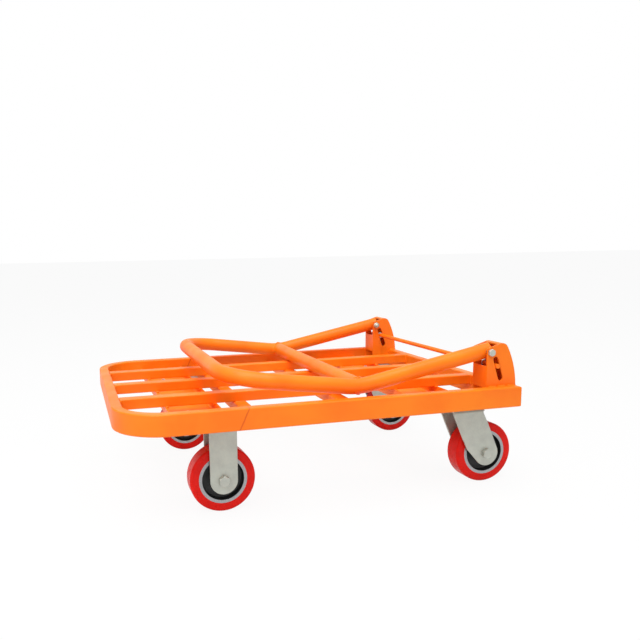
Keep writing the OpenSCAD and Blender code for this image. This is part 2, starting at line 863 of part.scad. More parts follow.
// An axle bolt placed from the middle of the wheel, its head on the outside.
module axle_bolt() {
    outer = fork_width / 2;
    color(ZINC) {
        hex_y(axle_flats, -outer - axle_head, -outer);
        bar_y(axle_radius, -outer, outer + axle_nut + 2);
    }
}

module axle_lock_nut() {
    outer = fork_width / 2;
    color(ZINC) hex_y(axle_flats, outer, outer + axle_nut, bore = axle_radius + snug);
}

// The tube clamped between the legs, with the bearings' inner rings on it.
module axle_sleeve() {
    ring = sleeve_radius + bearing_ring;
    color(STEEL) rotate([90, 0, 0]) rotate_extrude() difference() {
        union() {
            translate([axle_radius + snug, -fork_gap / 2])
                square([sleeve_radius - axle_radius - snug, fork_gap]);
            for (end = [-1, 1])
                translate([axle_radius + snug, end * (hub_length - bearing_width) / 2
                                               - bearing_width / 2])
                    square([ring - axle_radius - snug, bearing_width]);
        }
        for (end = [-1, 1])
            translate([bearing_circle, end * (hub_length - bearing_width) / 2])
                circle(bearing_ball + side_gap);
    }
}

// --- Wheels, placed from their own middle, axle along Y --------------------------

module wheel_tread() {
    shoulder = min(5, (wheel_radius - core_radius) / 2);
    flat_r = wheel_radius - shoulder;
    half = wheel_width / 2;
    color(RED) rotate([90, 0, 0]) rotate_extrude($fn = 120) {
        translate([core_radius, -half]) square([flat_r - core_radius, wheel_width]);
        translate([core_radius, shoulder - half])
            square([wheel_radius - core_radius, wheel_width - 2 * shoulder]);
        for (end = [-1, 1]) translate([flat_r, end * (half - shoulder)]) circle(shoulder);
    }
}

// Cast core: a rim, a thin web with rounded roots and a long hub with two pockets.
module wheel_core() {
    half = wheel_width / 2;
    rim_inner = core_radius - core_rim;
    root = 4;
    color(IRON) rotate([90, 0, 0]) rotate_extrude($fn = 120) difference() {
        union() {
            translate([rim_inner, -half]) square([core_rim, wheel_width]);
            translate([hub_radius - 1, -core_web / 2])
                square([rim_inner - hub_radius + 2, core_web]);
            translate([bearing_circle + 1, -hub_length / 2])
                square([hub_radius - bearing_circle - 1, hub_length]);
            for (end = [0, 1]) mirror([0, end]) for (r = [hub_radius, rim_inner])
                difference() {
                    inward = r == hub_radius ? 1 : -1;
                    translate([min(r, r + inward * root), core_web / 2]) square(root);
                    translate([r + inward * root, core_web / 2 + root]) circle(root);
                }
        }
        for (end = [-1, 1])
            translate([0, end * (hub_length / 2 - bearing_width / 2) - bearing_width / 2])
                square([bearing_radius, bearing_width]);
    }
}

// Outer rings and balls of the two bearings in a hub.
module wheel_bearings() {
    middle = (hub_length - bearing_width) / 2;
    color(STEEL) for (end = [-1, 1]) translate([0, end * middle, 0]) rotate([90, 0, 0]) {
        rotate_extrude() difference() {
            translate([bearing_radius - bearing_ring, -bearing_width / 2])
                square([bearing_ring, bearing_width]);
            translate([bearing_circle, 0]) circle(bearing_ball + 0.1);
        }
        for (i = [0 : bearing_balls - 1]) rotate([0, 0, i * 360 / bearing_balls])
            translate([bearing_circle, 0, 0]) sphere(bearing_ball);
    }
}

// Dished discs that keep thread and dirt out of the bearings.
module thread_guards() {
    color(BLACK) for (end = [0, 1]) mirror([0, end, 0])
        bar_y(hub_radius - 0.5, hub_length / 2, hub_length / 2 + guard_thickness,
              bore = sleeve_radius + 0.6);
}

// Places a wheel piece at one of the four axles.
module at_wheel(axle, side) {
    on_side(side) translate([axle == "front" ? front_axle_x : rear_axle_x, -caster_y,
                             wheel_radius]) children();
}

// --- Nodes ---------------------------------------------------------------------

deck_frame();
rear_crossmember();
slat(LEFT);  // slat_left
slat(0);  // slat_middle
slat(RIGHT);  // slat_right
bearer(front_bearer_x);  // front_bearer
cross_tube(front_axle_x + bolt_pitch_x / 2);  // front_cross_tube
cross_tube(deck_middle + middle_tube_offset);  // middle_cross_tube
bearer(rear_bearer_x);  // rear_bearer
hinge_bracket(LEFT);  // hinge_bracket_left
hinge_bracket(RIGHT);  // hinge_bracket_right
pivot_bolts();
pivot_nuts();
handle_tube();
handle_brace();
pivot_bushes();
lock_rod();
rod_clips();
lock_spring(LEFT);  // lock_spring_left
lock_spring(RIGHT);  // lock_spring_right
caster_bolts();
caster_nuts();
fixed_plate(LEFT);  // fixed_plate_left
fixed_plate(RIGHT);  // fixed_plate_right
fixed_fork(LEFT);  // fixed_fork_left
fixed_fork(RIGHT);  // fixed_fork_right
swivel_plate(LEFT);  // swivel_plate_left
swivel_plate(RIGHT);  // swivel_plate_right
swivel_balls();
kingpins();
thrust_washers();
kingpin_nuts();
swivel_fork(LEFT);  // swivel_fork_left
swivel_fork(RIGHT);  // swivel_fork_right

for (side = SIDES) {
    at_wheel("front", side[1]) axle_sleeve();  // front_axle_sleeves
    at_wheel("front", side[1]) axle_bolt();  // front_axle_bolts
    at_wheel("front", side[1]) axle_lock_nut();  // front_axle_nuts
    rear = str("rear_", side[0]);
    at_wheel("rear", side[1]) axle_sleeve();
    at_wheel("rear", side[1]) axle_bolt();
    at_wheel("rear", side[1]) axle_lock_nut();
    for (axle = ["front", "rear"]) {
        wheel = str(axle, "_", side[0]);
        at_wheel(axle, side[1]) wheel_tread();
        at_wheel(axle, side[1]) wheel_core();
        at_wheel(axle, side[1]) wheel_bearings();
        at_wheel(axle, side[1]) thread_guards();
    }
}
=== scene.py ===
"""Finishes a folding platform cart: powder coat, zinc plate, polyurethane treads, welds,
threaded fasteners and return springs round the cart's fixed frame. Lengths are in metres."""

import json
import math

import bmesh
import bpy
from mathutils import Matrix, Vector


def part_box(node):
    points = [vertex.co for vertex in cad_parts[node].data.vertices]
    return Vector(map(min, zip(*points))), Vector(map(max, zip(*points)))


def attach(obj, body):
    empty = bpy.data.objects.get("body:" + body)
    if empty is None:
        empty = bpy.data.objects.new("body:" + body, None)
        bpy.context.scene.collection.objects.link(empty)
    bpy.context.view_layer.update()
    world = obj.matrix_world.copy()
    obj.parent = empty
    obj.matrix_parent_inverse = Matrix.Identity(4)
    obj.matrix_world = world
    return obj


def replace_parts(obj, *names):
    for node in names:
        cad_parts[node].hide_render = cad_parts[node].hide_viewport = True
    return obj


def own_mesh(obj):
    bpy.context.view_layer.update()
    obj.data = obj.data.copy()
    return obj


bl_info = {
    "name": "Folding Platform Cart",
    "version": (1, 0, 0),
    "blender": (4, 5, 0),
    "location": "3D View > Sidebar > Cart",
    "description": "Finishes, welds and fasteners for a folding platform cart",
    "category": "Object",
}

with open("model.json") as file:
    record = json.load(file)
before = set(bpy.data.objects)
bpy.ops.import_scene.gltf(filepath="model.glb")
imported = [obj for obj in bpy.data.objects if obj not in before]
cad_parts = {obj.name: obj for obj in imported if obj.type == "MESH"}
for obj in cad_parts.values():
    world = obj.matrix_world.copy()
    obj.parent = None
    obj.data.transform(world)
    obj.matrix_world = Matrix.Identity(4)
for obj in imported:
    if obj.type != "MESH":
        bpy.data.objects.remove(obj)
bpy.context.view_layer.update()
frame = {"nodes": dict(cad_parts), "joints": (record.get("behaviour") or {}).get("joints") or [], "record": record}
NODES = frame["nodes"]
JOINTS = {joint["name"]: joint for joint in frame["joints"]}
SIDES = {"left": -1, "right": 1}
AXLES = [(axle, side) for axle in ("front", "rear") for side in SIDES]
MM = 0.001
MERGE = 1e-6  # points closer than this are one

ROD_WAY = Vector(JOINTS["lock_rod_press"]["axis"]).normalized()

# Faces that meet at less than these angles look smooth.
WELD_CREASE = math.radians(60)
BOLT_CREASE = math.radians(25)

# Height of a bolt's head and of a lock nut's collar, by thread size.
M8_HEAD, M8_COLLAR = 5.3 * MM, 2.4 * MM
M12_HEAD, M12_COLLAR = 7.5 * MM, 3.2 * MM
M8_FLATS, M8_RADIUS = 13 * MM, 4 * MM


# --- Where things are --------------------------------------------------------------


def middle(node):
    """The middle of a CAD node's box."""
    low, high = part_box(node)
    return (low + high) / 2


def size(node):
    """The edge lengths of a CAD node's box."""
    low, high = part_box(node)
    return high - low


def axle_centre(axle, side):
    """The middle of one wheel."""
    return Vector(JOINTS[f"{axle}_{side}_wheel_spin"]["pos_m"])


# --- Settings ----------------------------------------------------------------------


def colour_property(name, description, default):
    """A colour that a user may change."""
    return bpy.props.FloatVectorProperty(
        name=name, description=description, default=default, subtype="COLOR",
        size=3, min=0.0, max=1.0)


def length_property(name, description, millimetres, largest=50.0):
    """A length that a user may change."""
    return bpy.props.FloatProperty(
        name=name, description=description, default=millimetres * MM, min=0.0,
        max=largest * MM, subtype="DISTANCE", unit="LENGTH", precision=5)


class CartFinishSettings(bpy.types.PropertyGroup):
    """Colours and surface texture of the cart's finishes."""

    powder: colour_property("Powder coat", "Colour of the painted steel", (1.0, 0.225, 0.006))
    powder_deep: colour_property(
        "Powder coat, thick", "Colour where the coat is thickest", (0.98, 0.185, 0.004))
    # Painted shade: a darker orange on the splice line, standing in for the shade in its groove.
    powder_groove_shade: colour_property(
        "Powder coat, in a groove", "Colour where the coat fills a seam", (0.6, 0.05, 0.004))
    zinc: colour_property("Zinc plate", "Colour of the plated steel", (0.52, 0.55, 0.49))
    zinc_dull: colour_property(
        "Zinc plate, dull", "Colour of its duller clouds", (0.42, 0.44, 0.4))
    tread: colour_property("Tread", "Colour of the polyurethane", (0.84, 0.014, 0.008))
    iron: colour_property("Iron", "Colour of the painted cast core", (0.012, 0.013, 0.014))
    bare_iron: colour_property("Turned iron", "Colour of the bare turned rim", (0.42, 0.43, 0.44))
    steel: colour_property("Bright steel", "Colour of machined steel", (0.5, 0.5, 0.51))
    plastic: colour_property("Plastic", "Colour of the thread guards", (0.02, 0.02, 0.021))
    peel: length_property("Orange peel", "Width of the ripples in the powder coat", 1.2)
    edge: length_property("Edge softness", "Radius that sheet and bar edges look rounded to", 0.5)
    splice: length_property(
        "Splice", "Distance of the rails' ground splice behind the front of the deck", 214.0,
        largest=800.0)
    scarf: length_property("Scarf", "How far the splice leans back over the rail's height", 18.5)


class CartWeldSettings(bpy.types.PropertyGroup):
    """Size of the weld beads."""

    bead: length_property("Bead", "Radius of a weld bead", 2.0)
    ripple: length_property("Ripple", "Distance between two ripples of a bead", 1.8)
    stitch: length_property("Stitch", "Length of a short stitch weld", 16.0)


class CartFastenerSettings(bpy.types.PropertyGroup):
    """Details of the bolts and nuts."""

    fine_pitch: length_property("M8 pitch", "Thread pitch of the small bolts", 1.25)
    coarse_pitch: length_property("M12 pitch", "Thread pitch of the axle bolts", 1.75)
    turn_steps: bpy.props.IntProperty(
        name="Steps", description="Steps in one turn of a thread", default=20, min=8, max=64)


class CartStageSettings(bpy.types.PropertyGroup):
    """Lights, floor and camera."""

    key_power: bpy.props.FloatProperty(
        name="Key", description="Power of the large soft light", default=26.0, unit="POWER")
    top_power: bpy.props.FloatProperty(
        name="Top", description="Power of the overhead light", default=120.0, unit="POWER")
    sky: bpy.props.FloatProperty(
        name="Sky", description="Strength of the even light from all round", default=0.36)
    floor_white: bpy.props.FloatProperty(
        name="Floor white", description="Share of plain white in the floor as seen",
        default=0.93, min=0.0, max=1.0)


def settings():
    """The four groups of settings on the scene."""
    scene = bpy.context.scene
    return scene.cart_finish, scene.cart_weld, scene.cart_fastener, scene.cart_stage


# --- Materials ---------------------------------------------------------------------

# The material made here for each of the frame's finishes that is alike all over the cart.
FINISHES = {
    "powder_coat_orange": "sprayed_powder",
    "zinc_plate": "zinc_on_pressed_steel",
    "bright_steel": "machined_steel",
    "spring_steel": "spring_wire",
    "black_plastic": "guard_plastic",
}

# Tints that edges, chips, dust and crystals of zinc bring into the finishes.
POWDER_ON_EDGES = (1.0, 0.33, 0.05)
CHIPPED_BARE = (0.16, 0.075, 0.035)
ZINC_SPECK = (0.66, 0.64, 0.52)
ZINC_ON_EDGES = (0.74, 0.75, 0.72)
DUST_ON_TREAD = (0.3, 0.07, 0.055)

# How deep each finish's relief is, from its lowest to its highest point.
POWDER_RELIEF = 0.035 * MM
ZINC_RELIEF = 0.018 * MM
STEEL_RELIEF = 0.006 * MM
CASTING_RELIEF = 0.1 * MM
TREAD_RELIEF = 0.12 * MM
PLASTIC_RELIEF = 0.03 * MM

# The turned rim of a cast core, and the densities of turning marks and mould rings.
TURNED_RIM = 6 * MM
TURNING_MARKS = 700
MOULD_RINGS = 120


class Finish:
    """A node material on Object coordinates, built up step by step."""

    def __init__(self, name):
        self.material = bpy.data.materials.new(name)
        self.material.use_nodes = True
        self.tree = self.material.node_tree
        self.shader = self.tree.nodes["Principled BSDF"]
        self.place = self.add("ShaderNodeTexCoord").outputs["Object"]

    def add(self, kind, **values):
        """A new node with the given settings."""
        node = self.tree.nodes.new(kind)
        for name, value in values.items():
            setattr(node, name, value)
        return node

    def join(self, source, target):
        """Links two sockets, or sets a plain value."""
        if isinstance(source, bpy.types.NodeSocket):
            self.tree.links.new(source, target)
        elif isinstance(source, (tuple, list)) or hasattr(source, "__len__"):
            target.default_value = (*tuple(source)[:3], 1.0)[: len(target.default_value)]
        else:
            target.default_value = source

    def set(self, **values):
        """Sets or links inputs of the shader, with underscores for the blanks."""
        for name, value in values.items():
            self.join(value, self.shader.inputs[name.replace("_", " ")])

    def noise(self, width, detail=3.0, rough=0.5, stretch=None):
        """Soft noise whose blotches are about width across."""
        node = self.add("ShaderNodeTexNoise")
        node.inputs["Scale"].default_value = 1.0 / width
        node.inputs["Detail"].default_value = detail
        node.inputs["Roughness"].default_value = rough
        source = self.place
        if stretch:
            mapping = self.add("ShaderNodeMapping")
            mapping.inputs["Scale"].default_value = stretch
            self.join(source, mapping.inputs["Vector"])
            source = mapping.outputs["Vector"]
        self.join(source, node.inputs["Vector"])
        return node.outputs["Fac"]

    def spread(self, value, low, high, to_low=0.0, to_high=1.0):
        """Maps a range of a value softly to another range and clamps it."""
        node = self.add("ShaderNodeMapRange", interpolation_type="SMOOTHSTEP")
        self.join(value, node.inputs["Value"])
        for name, number in (("From Min", low), ("From Max", high),
                             ("To Min", to_low), ("To Max", to_high)):
            node.inputs[name].default_value = number
        return node.outputs["Result"]

    def math(self, operation, a, b=0.0):
        """One arithmetic step."""
        node = self.add("ShaderNodeMath", operation=operation)
        self.join(a, node.inputs[0])
        self.join(b, node.inputs[1])
        return node.outputs["Value"]

    def mix(self, share, a, b):
        """A blend of two colours."""
        node = self.add("ShaderNodeMix", data_type="RGBA")
        self.join(share, node.inputs["Factor"])
        self.join(a, node.inputs[6])
        self.join(b, node.inputs[7])
        return node.outputs[2]

    def soft_edges(self, radius):
        """A normal that rounds edges off, and a mask that is 1 on those edges."""
        bevel = self.add("ShaderNodeBevel", samples=6)
        bevel.inputs["Radius"].default_value = radius
        turned = self.add("ShaderNodeVectorMath", operation="DOT_PRODUCT")
        self.join(bevel.outputs["Normal"], turned.inputs[0])
        self.join(self.add("ShaderNodeNewGeometry").outputs["Normal"], turned.inputs[1])
        return bevel.outputs["Normal"], self.spread(turned.outputs["Value"], 0.98, 0.8)

    def split_place(self):
        """The place's three coordinates."""
        split = self.add("ShaderNodeSeparateXYZ")
        self.join(self.place, split.inputs["Vector"])
        return split.outputs

    def about_axle(self, centre):
        """Distance from a wheel's axle, and how far to the side of its middle plane."""
        place = self.split_place()
        out_x = self.math("SUBTRACT", place["X"], centre.x)
        out_z = self.math("SUBTRACT", place["Z"], centre.z)
        radius = self.math("SQRT", self.math("ADD", self.math("MULTIPLY", out_x, out_x),
                                             self.math("MULTIPLY", out_z, out_z)))
        return radius, self.math("SUBTRACT", place["Y"], centre.y)

    def rings(self, radius, scale, wobble=0.0):
        """Fine rings round an axle, as left by turning or by a mould."""
        wave = self.add("ShaderNodeTexWave", wave_type="BANDS", bands_direction="X")
        wave.inputs["Scale"].default_value = scale
        wave.inputs["Distortion"].default_value = wobble
        along = self.add("ShaderNodeCombineXYZ")
        self.join(radius, along.inputs["X"])
        self.join(along.outputs["Vector"], wave.inputs["Vector"])
        return wave.outputs["Fac"]

    def bump(self, height, depth, normal=None):
        """Raises the surface by a height from 0 to 1, times depth."""
        node = self.add("ShaderNodeBump")
        node.inputs["Distance"].default_value = depth
        self.join(height, node.inputs["Height"])
        if normal is not None:
            self.join(normal, node.inputs["Normal"])
        return node.outputs["Normal"]


def powder_coat(finish, name, splice=False):
    """Sprayed and baked polyester powder: orange peel, thicker and thinner areas, fine
    dust nibs and a few pinhead chips on the edges. The deck frame's also shows the ground
    splice of its tube, as a sunk line with painted shade along it."""
    f = Finish(name)
    normal, edge = f.soft_edges(finish.edge)
    cloud = f.spread(f.noise(90 * MM, 4, 0.55), 0.35, 0.68)
    colour = f.mix(cloud, finish.powder, finish.powder_deep)
    thin = f.math("MULTIPLY", edge, f.spread(f.noise(14 * MM, 3), 0.35, 0.7))
    colour = f.mix(f.math("MULTIPLY", thin, 0.35), colour, POWDER_ON_EDGES)
    chip = f.math("MULTIPLY", edge, f.spread(f.noise(3.2 * MM, 5, 0.7), 0.685, 0.72))
    colour = f.mix(f.math("MULTIPLY", chip, 0.8), colour, CHIPPED_BARE)
    peel = f.noise(finish.peel, 2, 0.4)
    ripple = f.noise(finish.peel * 5, 2, 0.5)
    nib = f.spread(f.noise(1.1 * MM, 1, 0.3), 0.76, 0.83)
    height = f.math("ADD", f.math("ADD", peel, f.math("MULTIPLY", ripple, 0.8)), nib)
    if splice:
        seam = ground_splice(f, finish)
        # Painted shade along the splice's groove, besides the bump that sinks it.
        colour = f.mix(f.math("MULTIPLY", seam, 0.55), colour, finish.powder_groove_shade)
        height = f.math("SUBTRACT", height, f.math("MULTIPLY", seam, 2.5))
    rough = f.spread(f.noise(40 * MM, 5, 0.6), 0.3, 0.7, 0.38, 0.5)
    f.set(Base_Color=colour, Roughness=f.math("ADD", rough, f.math("MULTIPLY", chip, 0.3)),
          Normal=f.bump(height, POWDER_RELIEF, normal))
    f.set(Specular_IOR_Level=0.25, Coat_Weight=0.06, Coat_Roughness=0.25)
    return f.material


def ground_splice(f, finish):
    """1 on the slanted line where each rail's two lengths were welded and ground flush; the
    powder coat paints shade along it.
    """
    low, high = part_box("deck_frame")
    place = f.split_place()
    lean = finish.scarf / (high.z - low.z)
    climbed = f.math("MULTIPLY", f.math("SUBTRACT", place["Z"], low.z), lean)
    wander = f.math("MULTIPLY", f.math("SUBTRACT", f.noise(6 * MM, 3), 0.5), 2.5 * MM)
    line = f.math("ADD", f.math("ADD", climbed, wander), low.x + finish.splice)
    off = f.math("ABSOLUTE", f.math("SUBTRACT", place["X"], line))
    return f.spread(off, 0.5 * MM, 2.4 * MM, 1.0, 0.0)


def zinc_plate(finish):
    """Bright zinc plate over pressed steel: faint clouds, drawing marks and fine scratches."""
    f = Finish("zinc_on_pressed_steel")
    normal, edge = f.soft_edges(finish.edge)
    cloud = f.spread(f.noise(22 * MM, 5, 0.6), 0.32, 0.7)
    speck = f.spread(f.noise(2.2 * MM, 4, 0.65), 0.3, 0.75)
    colour = f.mix(f.math("MULTIPLY", cloud, 0.75), finish.zinc, finish.zinc_dull)
    colour = f.mix(f.math("MULTIPLY", speck, 0.22), colour, ZINC_SPECK)
    colour = f.mix(f.math("MULTIPLY", edge, 0.5), colour, ZINC_ON_EDGES)
    drawn = f.noise(0.5 * MM, 3, 0.6, stretch=(1.0, 1.0, 0.12))
    scratch = f.spread(f.noise(0.9 * MM, 4, 0.7, stretch=(0.08, 1.0, 1.0)), 0.64, 0.7)
    height = f.math("ADD", drawn, f.math("MULTIPLY", scratch, -0.8))
    rough = f.spread(f.noise(9 * MM, 5, 0.65), 0.3, 0.7, 0.36, 0.52)
    f.set(Base_Color=colour, Roughness=rough, Normal=f.bump(height, ZINC_RELIEF, normal))
    f.set(Metallic=0.55)
    return f.material


def ground_steel(finish, name, shade=1.0, roughness=(0.22, 0.36)):
    """Turned or drawn steel with a film of oil."""
    f = Finish(name)
    normal, edge = f.soft_edges(finish.edge * 0.6)
    tone = f.spread(f.noise(5 * MM, 4, 0.6), 0.3, 0.7)
    bright = tuple(c * shade for c in finish.steel)
    dark = tuple(c * shade * 0.72 for c in finish.steel)
    f.set(Base_Color=f.mix(tone, bright, dark),
          Roughness=f.spread(f.noise(2 * MM, 4, 0.6), 0.3, 0.7, *roughness),
          Normal=f.bump(f.noise(0.25 * MM, 2), STEEL_RELIEF, normal))
    f.set(Metallic=1.0)
    return f.material


def cast_core(finish, axle, side):
    """Black-painted casting whose rim is turned bare on both faces."""
    f = Finish(f"iron_core_{axle}_{side}")
    centre = axle_centre(axle, side)
    rim = size(f"{axle}_{side}_core").x / 2
    radius, off = f.about_axle(centre)
    depth = f.math("ABSOLUTE", off)
    half = size(f"{axle}_{side}_tread").y / 2
    wander = f.math("MULTIPLY", f.math("SUBTRACT", f.noise(4 * MM, 3), 0.5), 1.2 * MM)
    on_rim = f.spread(f.math("ADD", radius, wander), rim - TURNED_RIM - 0.4 * MM,
                      rim - TURNED_RIM + 0.4 * MM)
    on_face = f.spread(depth, half - 0.7 * MM, half - 0.3 * MM)
    bare = f.math("MULTIPLY", on_rim, on_face)
    normal, _ = f.soft_edges(finish.edge)
    grain = f.noise(1.6 * MM, 6, 0.7)
    worn = f.spread(f.noise(12 * MM, 5, 0.6), 0.35, 0.7)
    paint = f.mix(worn, finish.iron, tuple(c * 2.2 for c in finish.iron))
    turned = f.mix(f.spread(f.noise(3 * MM, 4), 0.3, 0.7), finish.bare_iron,
                   tuple(c * 0.8 for c in finish.bare_iron))
    rings = f.rings(radius, TURNING_MARKS)
    height = f.mix(bare, grain, f.math("MULTIPLY", rings, 0.25))
    f.set(Base_Color=f.mix(bare, paint, turned),
          Roughness=f.spread(bare, 0, 1, 0.5, 0.34),
          Metallic=f.math("MULTIPLY", bare, 0.7),
          Normal=f.bump(height, CASTING_RELIEF, normal))
    return f.material


def moulded_tread(finish, axle, side):
    """Cast polyurethane: glossy, a little cloudy, with a fine parting line round the
    middle, faint mould rings on the sides and dust where it rolls."""
    f = Finish(f"tread_{axle}_{side}")
    centre = axle_centre(axle, side)
    outer = size(f"{axle}_{side}_tread").x / 2
    radius, off = f.about_axle(centre)
    rolling = f.spread(radius, outer - 1.2 * MM, outer - 0.2 * MM)
    dust = f.math("MULTIPLY", rolling, f.spread(f.noise(7 * MM, 6, 0.7), 0.42, 0.75))
    cloud = f.spread(f.noise(30 * MM, 3), 0.3, 0.7)
    deep = tuple(c * 0.86 for c in finish.tread)
    colour = f.mix(cloud, finish.tread, deep)
    colour = f.mix(f.math("MULTIPLY", dust, 0.3), colour, DUST_ON_TREAD)
    parting = f.spread(f.math("ABSOLUTE", off), 0.15 * MM, 0.45 * MM, 1.0, 0.0)
    rings = f.rings(radius, MOULD_RINGS, 0.4)
    height = f.math("ADD", f.math("MULTIPLY", rings, 0.12),
                    f.math("ADD", f.math("MULTIPLY", parting, rolling),
                           f.math("MULTIPLY", f.noise(2.5 * MM, 4), 0.2)))
    f.set(Base_Color=colour,
          Roughness=f.math("ADD", f.spread(f.noise(18 * MM, 4), 0.3, 0.7, 0.24, 0.34),
                           f.math("MULTIPLY", dust, 0.4)),
          Normal=f.bump(height, TREAD_RELIEF))
    f.set(Subsurface_Weight=0.05, Subsurface_Scale=0.004, Specular_IOR_Level=0.12)
    return f.material


def plain_plastic(name, colour, roughness):
    """Injection-moulded plastic with a fine spark-eroded grain."""
    f = Finish(name)
    tone = f.spread(f.noise(10 * MM, 3), 0.3, 0.7)
    f.set(Base_Color=f.mix(tone, colour, tuple(min(1.0, c * 1.25) for c in colour)),
          Roughness=f.spread(f.noise(3 * MM, 3), 0.3, 0.7, roughness - 0.06, roughness + 0.06),
          Normal=f.bump(f.noise(0.35 * MM, 2), PLASTIC_RELIEF))
    return f.material


def dress(piece, name):
    """Gives a piece one of the materials that the finishes operator has made."""
    piece.data.materials.clear()
    piece.data.materials.append(bpy.data.materials[name])


# --- Shapes ------------------------------------------------------------------------


def ranks(elements, place):
    """A function that gives each element its number in the order of its place."""
    order = {element: number for number, element in enumerate(sorted(elements, key=place))}
    return order.get


def put_in_order(shape):
    """Numbers the points, edges and faces of a bmesh by place, so that each run gives the
    same mesh."""
    def corners(element):
        return sorted(tuple(round(c, 7) for c in vert.co) for vert in element.verts)

    shape.verts.sort(key=ranks(shape.verts, lambda vert: tuple(round(c, 7) for c in vert.co)))
    shape.edges.sort(key=ranks(shape.edges, corners))
    shape.faces.sort(key=ranks(shape.faces, corners))


def new_piece(name, shape, body, slot):
    """Makes an object of a bmesh, gives it a finish and lets it ride on a body."""
    bmesh.ops.recalc_face_normals(shape, faces=shape.faces)
    put_in_order(shape)
    mesh = bpy.data.meshes.new(name)
    shape.to_mesh(mesh)
    shape.free()
    piece = bpy.data.objects.new(name, mesh)
    bpy.context.scene.collection.objects.link(piece)
    dress(piece, FINISHES[slot])
    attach(piece, body)
    return piece


def pour(part, shape, places=(Matrix.Identity(4),)):
    """Adds copies of a small finished shape to a larger one."""
    mesh = bpy.data.meshes.new("part")
    part.to_mesh(mesh)
    part.free()
    for place in places:
        copy = mesh.copy()
        copy.transform(place)
        shape.from_mesh(copy)
        bpy.data.meshes.remove(copy)
    bpy.data.meshes.remove(mesh)


def shade(shape, angle):
    """Smooth faces, with sharp edges kept where two faces meet steeply."""
    for face in shape.faces:
        face.smooth = True
    for edge in shape.edges:
        edge.smooth = len(edge.link_faces) == 2 and edge.calc_face_angle(0.0) < angle


def turned_to(direction, at=(0, 0, 0)):
    """A matrix that carries +Z to a direction and the origin to a point."""
    turn = Vector(direction).normalized().to_track_quat("Z", "Y")
    return Matrix.Translation(Vector(at)) @ turn.to_matrix().to_4x4()


def ends_of(grown):
    """The new vertices of an extrusion, and the edges between them."""
    verts = [g for g in grown if isinstance(g, bmesh.types.BMVert)]
    new = set(verts)
    edges = [g for g in grown if isinstance(g, bmesh.types.BMEdge)
             and all(v in new for v in g.verts)]
    return verts, edges


def sweep(shape, path, radius, sides=8, swell=None, closed=False):
    """Carries a ring along a path. swell gives the ring's share of the radius at a step."""
    points = [Vector(p) for p in path]
    count = len(points)
    heading = (points[1] - points[0]).normalized()
    turn = heading.to_track_quat("Z", "Y")
    ring = bmesh.ops.create_circle(shape, segments=sides, radius=radius)
    verts = ring["verts"]
    edges = list({e for v in verts for e in v.link_edges})
    before = Matrix.Identity(4)
    first_edges = edges
    for step, point in enumerate(points):
        if closed:
            towards = points[(step + 1) % count] - points[step - 1]
        else:
            towards = points[min(step + 1, count - 1)] - points[max(step - 1, 0)]
        towards.normalize()
        turn = heading.rotation_difference(towards) @ turn
        heading = towards
        share = swell(step) if swell else 1.0
        now = Matrix.Translation(point) @ turn.to_matrix().to_4x4() @ Matrix.Scale(share, 4)
        if step:
            grown = bmesh.ops.extrude_edge_only(shape, edges=edges)["geom"]
            verts, edges = ends_of(grown)
        bmesh.ops.transform(shape, matrix=now @ before.inverted(), verts=verts)
        before = now
    if closed:
        bmesh.ops.bridge_loops(shape, edges=edges + first_edges)
    else:
        bmesh.ops.holes_fill(shape, edges=edges, sides=sides)
        bmesh.ops.holes_fill(shape, edges=first_edges, sides=sides)


def bead_path(start, end, step):
    """Points along a straight bead."""
    start, end = Vector(start), Vector(end)
    count = max(3, round((end - start).length / step) + 1)
    return [start.lerp(end, i / (count - 1)) for i in range(count)]


def bead(shape, path, radius, closed=False):
    """A weld bead: overlapping ripples along a path, tapered at open ends."""
    count = len(path)
    ripple_height, unevenness = 0.13, 0.05

    def ripple(step):
        wave = 1.0 + ripple_height * (step % 2) + unevenness * math.sin(step * 2.3)
        near_end = 1.0 if closed else min(1.0, (min(step, count - 1 - step) + 0.9) / 2.0)
        return wave * near_end

    part = bmesh.new()
    sweep(part, path, radius, swell=ripple, closed=closed)
    pour(part, shape)


def lathe(shape, profile, steps=48):
    """Spins a list of (radius, height) points round +Z and adds the result."""
    part = bmesh.new()
    verts = [part.verts.new((r, 0, z)) for r, z in profile]
    edges = [part.edges.new(pair) for pair in zip(verts, verts[1:])]
    bmesh.ops.spin(part, geom=verts + edges, cent=(0, 0, 0), axis=(0, 0, 1), dvec=(0, 0, 0),
                   angle=2 * math.pi, steps=steps, use_merge=True)
    bmesh.ops.remove_doubles(part, verts=part.verts, dist=MERGE)
    pour(part, shape)


def hexagon(shape, flats, low, high, both=False):
    """Adds a hexagonal prism along +Z, its corners taken off by a cone at the top or at
    both ends."""
    around = 48
    flat = flats / 2
    top = 0.95 * flat
    cone = math.tan(math.radians(30))
    part = bmesh.new()
    verts = bmesh.ops.create_circle(part, segments=around, radius=1.0)["verts"]
    edges = start = list(part.edges)
    angles = [math.atan2(v.co.y, v.co.x) for v in verts]
    reach = [flat / math.cos((a + math.pi / 6) % (math.pi / 3) - math.pi / 6) for a in angles]
    drop = [(r - top) * cone for r in reach]
    levels = [([top] * around, [low] * around)] if both else []
    levels += [(reach, [low + d for d in drop] if both else [low] * around),
               (reach, [high - d for d in drop]), ([top] * around, [high] * around)]
    for level, (radii, heights) in enumerate(levels):
        if level:
            verts, edges = ends_of(bmesh.ops.extrude_edge_only(part, edges=edges)["geom"])
        for vert in verts:
            turn = math.atan2(vert.co.y, vert.co.x)
            step = min(range(around), key=lambda i: abs(math.remainder(turn - angles[i],
                                                                      2 * math.pi)))
            vert.co = (radii[step] * math.cos(angles[step]), radii[step] * math.sin(angles[step]),
                       heights[step])
    bmesh.ops.holes_fill(part, edges=edges, sides=around)
    bmesh.ops.holes_fill(part, edges=start, sides=around)
    pour(part, shape)


